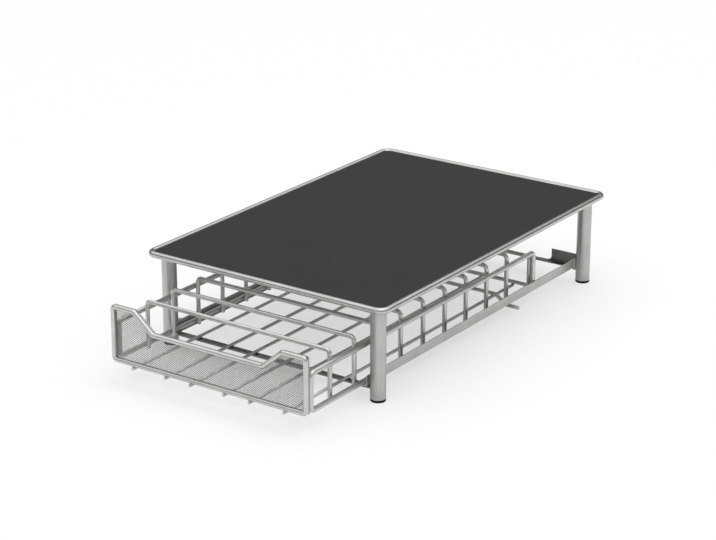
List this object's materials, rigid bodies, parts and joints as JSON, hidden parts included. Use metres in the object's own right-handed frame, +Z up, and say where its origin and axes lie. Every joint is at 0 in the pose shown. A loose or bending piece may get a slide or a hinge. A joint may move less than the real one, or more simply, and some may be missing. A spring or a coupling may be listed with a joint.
{
  "type": "coffee capsule holder",
  "caption": "Low steel stand with a matted top for a coffee machine, and a sliding wire drawer under it whose hoops and floor wires hold rows of capsules.",
  "frame": {"origin": "on the floor, at the centre of the footprint with the drawer pulled out as stored", "axes": "+X to the right seen from the front, +Y from the drawer's front to the back, +Z up"},
  "size_m": [0.313, 0.555, 0.1093],
  "materials": {
    "steel": "satin",
    "mesh": "satin",
    "mat": "matte",
    "foot": "matte"
  },
  "bodies": {
    "stand": {"top_rim": "steel", "top_plate": "steel", "top_mat": "mat", "leg_front_left": "steel", "leg_front_right": "steel", "leg_rear_left": "steel", "leg_rear_right": "steel", "foot_front_left": "foot", "foot_front_right": "foot", "foot_rear_left": "foot", "foot_rear_right": "foot", "rail_left": "steel", "rail_right": "steel", "rail_lug_front_left": "steel", "rail_lug_front_right": "steel", "rail_lug_rear_left": "steel", "rail_lug_rear_right": "steel", "front_cross_bar": "steel", "rear_cross_bar": "steel"},
    "drawer": {"front_frame": "steel", "front_mesh": "mesh", "side_loop_left": "steel", "side_loop_right": "steel", "divider_hoop_1": "steel", "divider_hoop_2": "steel", "divider_hoop_3": "steel", "divider_hoop_4": "steel", "divider_hoop_5": "steel", "divider_hoop_6": "steel", "divider_hoop_7": "steel", "divider_hoop_8": "steel", "divider_hoop_9": "steel", "floor_wire_1": "steel", "floor_wire_2": "steel", "floor_wire_3": "steel", "floor_wire_4": "steel", "floor_wire_5": "steel", "floor_wire_6": "steel", "rear_frame": "steel", "stop_wire": "steel"}
  },
  "joints": [
    {"name": "drawer_slide", "type": "slide", "parent": "stand", "child": "drawer", "axis": [0, -1, 0], "range_m": [-0.086, 0.276]}
  ]
}
